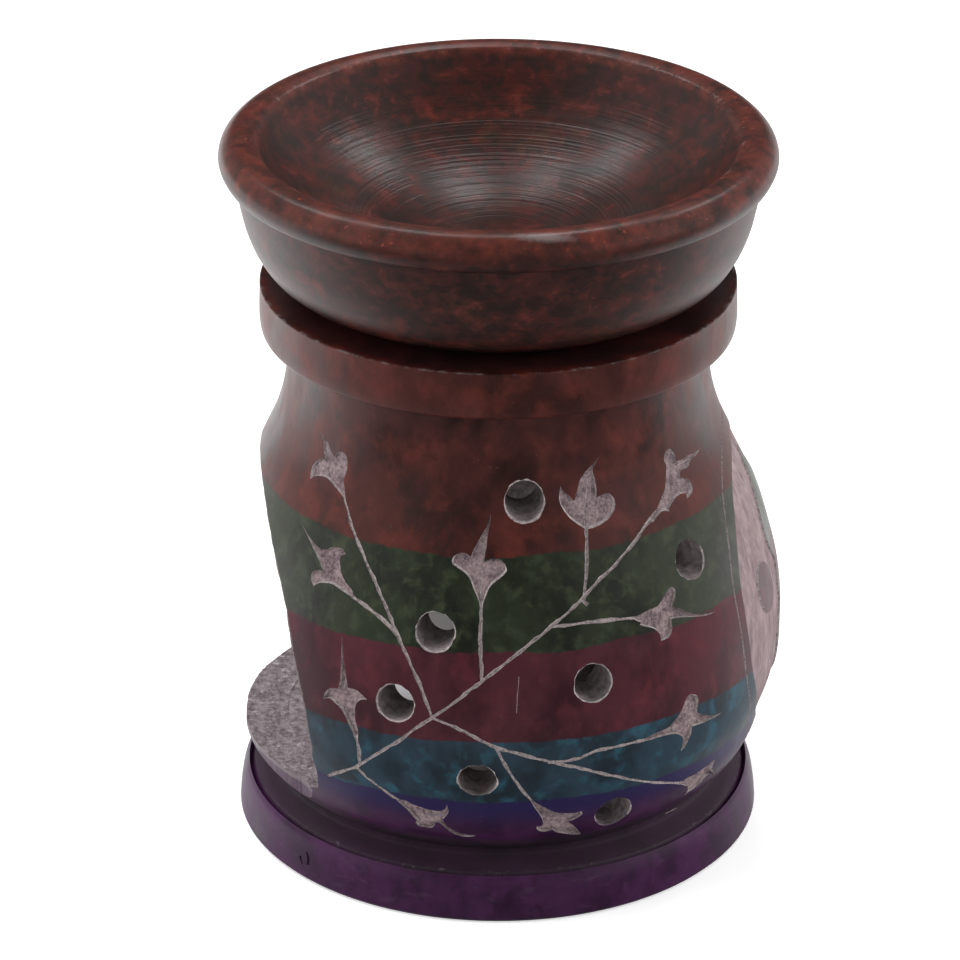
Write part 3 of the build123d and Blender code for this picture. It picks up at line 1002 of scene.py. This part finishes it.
cup_outline = [
    (0, sill_height, "VECTOR"),
    (cup_radius - 0.6, sill_height, "VECTOR"),
    (cup_radius - 0.15, sill_height + 0.15, "VECTOR"),
    (cup_radius, sill_height + 0.6, "VECTOR"),
    (cup_radius, sill_height + 1.8, "VECTOR"),
    (cup_radius, cup_top - 1.8, "VECTOR"),
    (cup_radius, cup_top - rim_height, "VECTOR"),
    (cup_radius + rim_width - 0.1, cup_top - rim_height, "AUTO"),
    (cup_radius + rim_width, cup_top - rim_height / 2, "AUTO"),
    (cup_radius + rim_width - 0.15, cup_top, "AUTO"),
    (cup_radius - cup_wall + 0.1, cup_top, "AUTO"),
    (cup_radius - cup_wall, cup_top - 0.2, "VECTOR"),
    (cup_radius - cup_wall, sill_height + cup_wall, "VECTOR"),
    (0, sill_height + cup_wall, "VECTOR"),
]
cup = turned("candle_cup", cup_outline, 4, 2 * cup_flutes)

# Every other corner of the wall is pressed in, which makes the flutes.
wall_middle = (sill_height + cup_top) / 2 * mm
bpy.ops.object.mode_set(mode="EDIT")
bpy.ops.mesh.select_all(action="DESELECT")
bpy.ops.object.mode_set(mode="OBJECT")
for corner in cup.data.vertices:
    column = round(math.atan2(corner.co.y, corner.co.x) / math.tau * 2 * cup_flutes)
    outer = Vector((corner.co.x, corner.co.y)).length > (cup_radius - cup_wall / 2) * mm
    on_wall = abs(corner.co.z - wall_middle) < flute_half_height * mm
    corner.select = column % 2 == 1 and outer and on_wall
bpy.ops.object.mode_set(mode="EDIT")
inward = 1 - flute_depth / cup_radius
bpy.ops.transform.resize(value=(inward, inward, 1), center_override=(0, 0, 0))
bpy.ops.object.mode_set(mode="OBJECT")
cup_finish, shader, place, height, radius = new_finish("cup_aluminium", 0.3, Metallic=1.0)
drawn = place.stretched(1, 1, 0.1).noise(0.5, 3, 0.5)
feed(shader, "Base Color", drawn.tinted(cup_dull, cup_bright))
feed(shader, "Roughness", 0.24 + 0.16 * drawn)
carved_relief(shader, 0.01 * drawn)
cup.data.materials.append(cup_finish)
smooth_shaded(cup)
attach(cup, "tealight")
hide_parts("tealight_cup")


# Tealight wax
# White paraffin wax, poured into the cup round the wick and over the wick's foot, and set with a slight dip.
# A little room is left all round it.

wax_clearance = 0.05
wax_top = 24.85
wax_dip = 0.35
wick_radius = 0.8
foot_plate_radius = 7.0
foot_plate_top = 13.95
foot_neck_radius = 1.25
foot_room_top = 16.6
wax_shade = (0.60, 0.59, 0.56)
wax_white = (0.72, 0.71, 0.68)

wax_radius = cup_radius - cup_wall - wax_clearance
wick_room = wick_radius + wax_clearance
neck_room = foot_neck_radius + wax_clearance
plate_room = foot_plate_radius + wax_clearance
wax_outline = [
    (wick_room, foot_room_top, "VECTOR"),
    (neck_room, foot_room_top, "VECTOR"),
    (neck_room, foot_plate_top + wax_clearance, "VECTOR"),
    (plate_room, foot_plate_top + wax_clearance, "VECTOR"),
    (plate_room, sill_height + cup_wall, "VECTOR"),
    (wax_radius, sill_height + cup_wall, "VECTOR"),
    (wax_radius, wax_top, "VECTOR"),
    (wax_radius - 0.8, wax_top - wax_dip * 0.6, "AUTO"),
    (wax_radius - 3.0, wax_top - wax_dip, "AUTO"),
    (6.0, wax_top - wax_dip, "AUTO"),
    (2.5, wax_top - wax_dip * 0.8, "AUTO"),
    (wick_room, wax_top - 0.1, "VECTOR"),
    (wick_room, foot_room_top, "VECTOR"),
]
wax = turned("candle_wax", wax_outline, 6, 128)
wax_finish, shader, place, height, radius = new_finish("white_wax", 0.42, Specular_IOR_Level=0.4)
cloud = place.noise(4, 4, 0.6)
feed(shader, "Base Color", cloud.tinted(wax_shade, wax_white))
feed(shader, "Roughness", 0.34 + 0.18 * cloud)
carved_relief(shader, 0.05 * cloud + 0.01 * place.noise(0.6, 3, 0.5))
wax.data.materials.append(wax_finish)
smooth_shaded(wax)
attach(wax, "tealight")
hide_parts("tealight_wax")


# Wick
# A wick of three strands of cotton twisted together. It stands in the neck of its foot, and its tip is
# free above the wax.

wick_bottom = 13.95
wick_top = 31.55
wick_end_clearance = 0.05
strand_count = 3
strand_radius = 0.40
strand_slack = 0.97
strand_turns = 4
strand_steps = 48
cotton_shade = (0.62, 0.59, 0.52)
cotton_pale = (0.84, 0.82, 0.76)

wick_finish, shader, place, height, radius = new_finish("wick_cotton", 0.85, Specular_IOR_Level=0.3)
thread = place.stretched(1, 1, 3).noise(0.25, 3, 0.6)
feed(shader, "Base Color", thread.tinted(cotton_shade, cotton_pale))
carved_relief(shader, 0.04 * thread)
strands = []
for number in range(strand_count):
    points = []
    for step in range(strand_steps + 1):
        share = step / strand_steps
        turn = math.tau * (number / strand_count + strand_turns * share)
        offset = (wick_radius - strand_radius) * mm
        climb = share * (wick_top - wick_bottom - 2 * wick_end_clearance)
        rise = (wick_bottom + wick_end_clearance + climb) * mm
        points.append(Vector((offset * math.cos(turn), offset * math.sin(turn), rise)))
    strands.append(even_tube(wick_finish, points, strand_radius * strand_slack))
deselect()
for strand in strands:
    strand.select_set(True)
bpy.context.view_layer.objects.active = strands[0]
bpy.ops.object.join()
wick = strands[0]
wick.name = "candle_wick"
smooth_shaded(wick)
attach(wick, "tealight")
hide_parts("wick")


# Wick foot
# A small plate with a neck, pressed from tinned steel sheet, which lies on the cup's floor under the wax
# and grips the wick. The CAD piece has its full shape, so it only gets its finish here.

steel_dull = (0.50, 0.50, 0.49)
steel_bright = (0.62, 0.62, 0.61)
steel_finish, shader, place, height, radius = new_finish("pressed_steel", 0.35, Metallic=1.0)
pressed = place.noise(0.8, 3, 0.5)
feed(shader, "Base Color", pressed.tinted(steel_dull, steel_bright))
feed(shader, "Roughness", 0.28 + 0.16 * pressed)
wick_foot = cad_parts["wick_sustainer"]
wick_foot.data.materials.clear()
wick_foot.data.materials.append(steel_finish)


# Stage
# A plain pale floor and a white backdrop under soft studio light, so that the waxed stone shows its own
# colours. The floor keeps the burner's shadow, and both have a glow of their own in what the wax reflects.

floor_size = 6.0
floor_pale = (0.86, 0.86, 0.86)
floor_reflected = (0.03, 0.03, 0.03)
floor_lift = 0.42
glow_strength = 2.1
world_level = 0.52
world_reflected_low = 0.08
world_reflected_rise = 0.44

deselect()
bpy.ops.mesh.primitive_plane_add(size=floor_size, location=(0, 0, 0))
floor = bpy.context.object
floor.name = "floor"
floor_finish = bpy.data.materials.new("pale_floor")
floor_finish.use_nodes = True
shader = floor_finish.node_tree.nodes["Principled BSDF"]
shader.inputs["Roughness"].default_value = 0.9
start = Value(floor_finish.node_tree, None)
seen = start.node("ShaderNodeLightPath", {}, {}, "Is Camera Ray")
reflected = start.node("ShaderNodeLightPath", {}, {}, "Is Glossy Ray")
place = start.node("ShaderNodeTexCoord", {}, {}, "Object").stretched(1 / mm, 1 / mm, 1 / mm)
across = place.along(0)
behind = place.along(1) - 0.16 * across
away = place.length().smooth(50, 120)
far_glow = away * behind.smooth(-125, 95) * (0.84 - 0.24 * across.smooth(0, 70) * behind.smooth(0, 110))
far_glow = far_glow * (1 - 0.15 * behind.smooth(130, 190))
near_glow = (1 - away) * (0.58 - 0.16 * across.smooth(-60, -20)) * behind.smooth(-48, 15)
glow = glow_strength * reflected * (far_glow + near_glow)
feed(shader, "Base Color", reflected.tinted(floor_pale, floor_reflected))
shader.inputs["Emission Strength"].default_value = 1.0
feed(shader, "Emission Color", floor_lift * seen + glow)
floor.data.materials.append(floor_finish)

world = bpy.data.worlds.new("studio")
bpy.context.scene.world = world
world.use_nodes = True
start = Value(world.node_tree, None)
direction = start.node("ShaderNodeTexCoord", {}, {}, "Generated")
sideways = abs(direction.along(0)).smooth(0.2, 0.9)
seen = start.node("ShaderNodeLightPath", {}, {}, "Is Camera Ray")
reflected = start.node("ShaderNodeLightPath", {}, {}, "Is Glossy Ray")
level = world_level + reflected * (world_reflected_low + world_reflected_rise * sideways - world_level)
level = level + seen * (1.0 - level)
background = world.node_tree.nodes["Background"]
background.inputs["Color"].default_value = (1, 1, 1, 1)
world.node_tree.links.new(level.socket, background.inputs["Strength"])

# Name, place, size, power and whether the wax reflects it.
lamp_aim = Vector((0, 0, 0.05))
lamps = [
    ("lamp_front_left", (-0.83, -0.24, 0.36), 0.45, 3.2, False),
    ("lamp_front_right", (0.83, -0.24, 0.36), 0.45, 2.8, False),
    ("lamp_side_left", (-0.55, 0.10, 0.90), 0.50, 4.6, False),
    ("lamp_side_right", (0.80, 0.15, 0.45), 0.50, 2.6, False),
    ("lamp_top_1", (0.39, 0.43, 0.69), 0.09, 0.50, True),
    ("lamp_top_2", (0.10, 0.44, 0.76), 0.08, 0.50, True),
    ("lamp_top_3", (-0.14, 0.38, 0.79), 0.08, 0.50, True),
    ("lamp_top_4", (-0.35, 0.41, 0.73), 0.09, 0.50, True),
]
for name, lamp_place, size, power, in_reflections in lamps:
    deselect()
    turn = (lamp_aim - Vector(lamp_place)).to_track_quat("-Z", "Y").to_euler()
    bpy.ops.object.light_add(type="AREA", location=lamp_place, rotation=turn)
    lamp = bpy.context.object
    lamp.name = name
    lamp.data.size = size
    lamp.data.energy = power
    lamp.visible_glossy = in_reflections

bpy.context.scene.view_settings.view_transform = "Standard"
